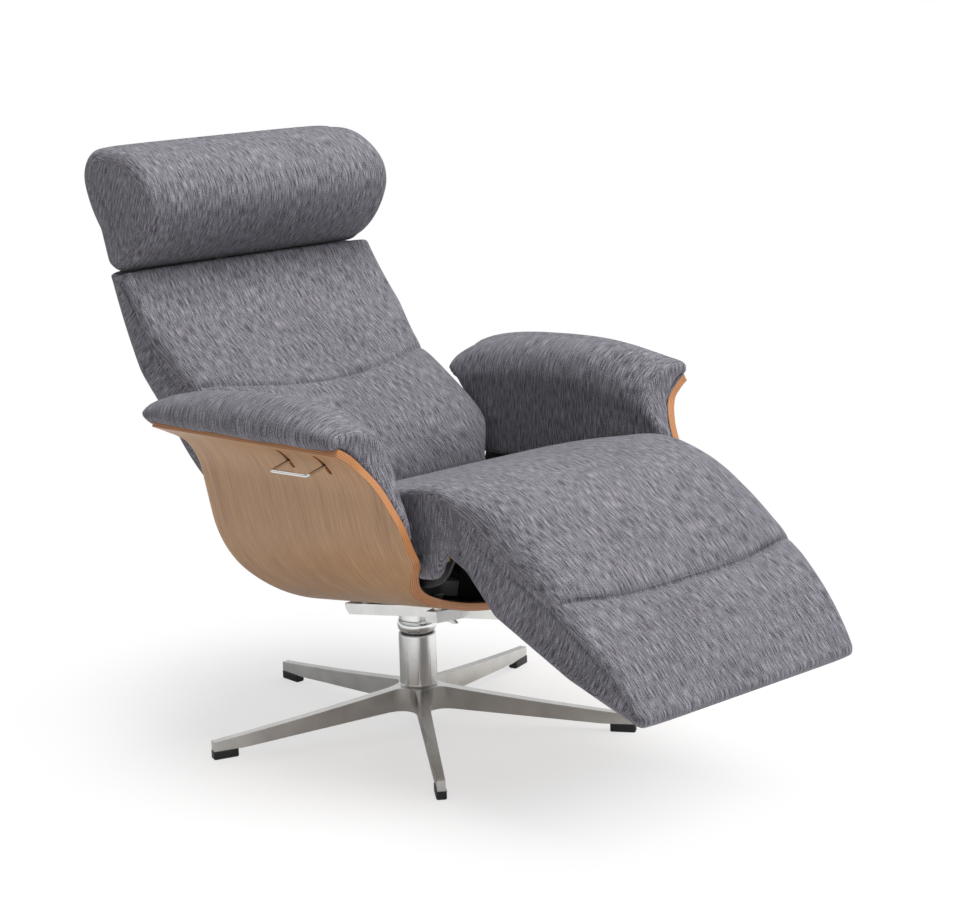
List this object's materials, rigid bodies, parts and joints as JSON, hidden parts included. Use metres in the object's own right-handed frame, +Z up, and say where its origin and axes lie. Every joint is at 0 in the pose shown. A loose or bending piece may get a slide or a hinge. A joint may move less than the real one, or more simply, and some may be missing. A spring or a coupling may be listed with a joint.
{
  "type": "swivel recliner chair",
  "caption": "Upholstered swivel recliner on a star base: moulded wood shell forms both arms, the back reclines, the legrest folds and the headrest slides and tilts.",
  "frame": {"origin": "centre of the bounding box on the floor, in the pose of the picture", "axes": "+Z up, -Y the way the sitter faces, +Y behind the headrest, +X to the sitter's left"},
  "size_m": [0.7402, 1.2303, 0.9235],
  "materials": {
    "cast_aluminium": "polished",
    "polished_steel": "polished",
    "black_plastic": "moulded",
    "black_steel": "powder coated",
    "zinc_steel": "zinc plated",
    "oak_ply": "oak veneer, lacquered",
    "birch_board": "plain",
    "grey_weave": "heathered slub weave"
  },
  "bodies": {
    "base": {"star_base": "cast_aluminium", "floor_glide_1": "black_plastic", "floor_glide_2": "black_plastic", "floor_glide_3": "black_plastic", "floor_glide_4": "black_plastic", "floor_glide_5": "black_plastic", "base_column": "polished_steel", "column_bushing": "black_plastic", "thrust_washer": "zinc_steel"},
    "chassis": {"swivel_spindle": "zinc_steel", "swivel_collar": "polished_steel", "shell_carrier": "cast_aluminium", "plywood_shell": "oak_ply", "shell_bolts": "zinc_steel", "mechanism_base": "black_steel", "cross_tube_front": "black_steel", "cross_tube_rear": "black_steel", "side_plate_left": "black_steel", "side_plate_right": "black_steel", "tube_bolts": "zinc_steel", "knee_pins": "zinc_steel", "back_pivot_pins": "zinc_steel", "strut_front_pin": "zinc_steel", "seat_board": "birch_board", "seat_cushion": "grey_weave", "arm_pad_left": "grey_weave", "arm_pad_right": "grey_weave", "handle_bracket": "black_steel"},
    "legrest": {"legrest_arm_left": "black_steel", "legrest_arm_right": "black_steel", "legrest_board": "birch_board", "legrest_cushion": "grey_weave"},
    "back": {"back_frame": "black_steel", "back_board": "birch_board", "back_cushion": "grey_weave", "strut_rear_pin": "zinc_steel"},
    "headrest_carriage_body": {"headrest_carriage": "polished_steel"},
    "headrest": {"headrest_frame": "black_steel", "headrest_pillow": "grey_weave"},
    "handle": {"release_handle": "polished_steel"},
    "strut_cylinder_body": {"strut_cylinder": "black_steel"},
    "strut_rod_body": {"strut_rod": "polished_steel"}
  },
  "joints": [
    {"name": "swivel", "type": "hinge", "parent": "base", "child": "chassis", "pos_m": [0, 0.1, 0.15], "axis": [0, 0, 1], "continuous": true},
    {"name": "back_recline", "type": "hinge", "parent": "chassis", "child": "back", "pos_m": [0, 0.2, 0.345], "axis": [1, 0, 0], "range_deg": [0, 25]},
    {"name": "legrest_fold", "type": "hinge", "parent": "chassis", "child": "legrest", "pos_m": [0, -0.275, 0.432], "axis": [1, 0, 0], "range_deg": [0, 50]},
    {"name": "headrest_slide", "type": "slide", "parent": "back", "child": "headrest_carriage_body", "axis": [0, 0.5, 0.866], "range_m": [0, 0.06]},
    {"name": "headrest_tilt", "type": "hinge", "parent": "headrest_carriage_body", "child": "headrest", "pos_m": [0, 0.525, 0.765], "axis": [1, 0, 0], "range_deg": [0, 20]},
    {"name": "release_handle", "type": "hinge", "parent": "chassis", "child": "handle", "pos_m": [-0.283, -0.0525, 0.5215], "axis": [0, 0.9982, -0.0601], "range_deg": [0, 18], "stiffness_Nm_per_rad": 0.6},
    {"name": "strut_swing", "type": "hinge", "parent": "chassis", "child": "strut_cylinder_body", "pos_m": [0, -0.05, 0.268], "axis": [1, 0, 0], "range_deg": [0, 1.9]},
    {"name": "strut_stroke", "type": "slide", "parent": "strut_cylinder_body", "child": "strut_rod_body", "axis": [0, 0.9981, 0.0621], "range_m": [0, 0.02523]}
  ],
  "couplings": [
    {"joint": "legrest_fold", "follows": "back_recline", "ratio": 2},
    {"joint": "strut_swing", "follows": "back_recline", "ratio": 0.076179},
    {"joint": "strut_stroke", "follows": "back_recline", "m_per_rad": 0.057812}
  ]
}
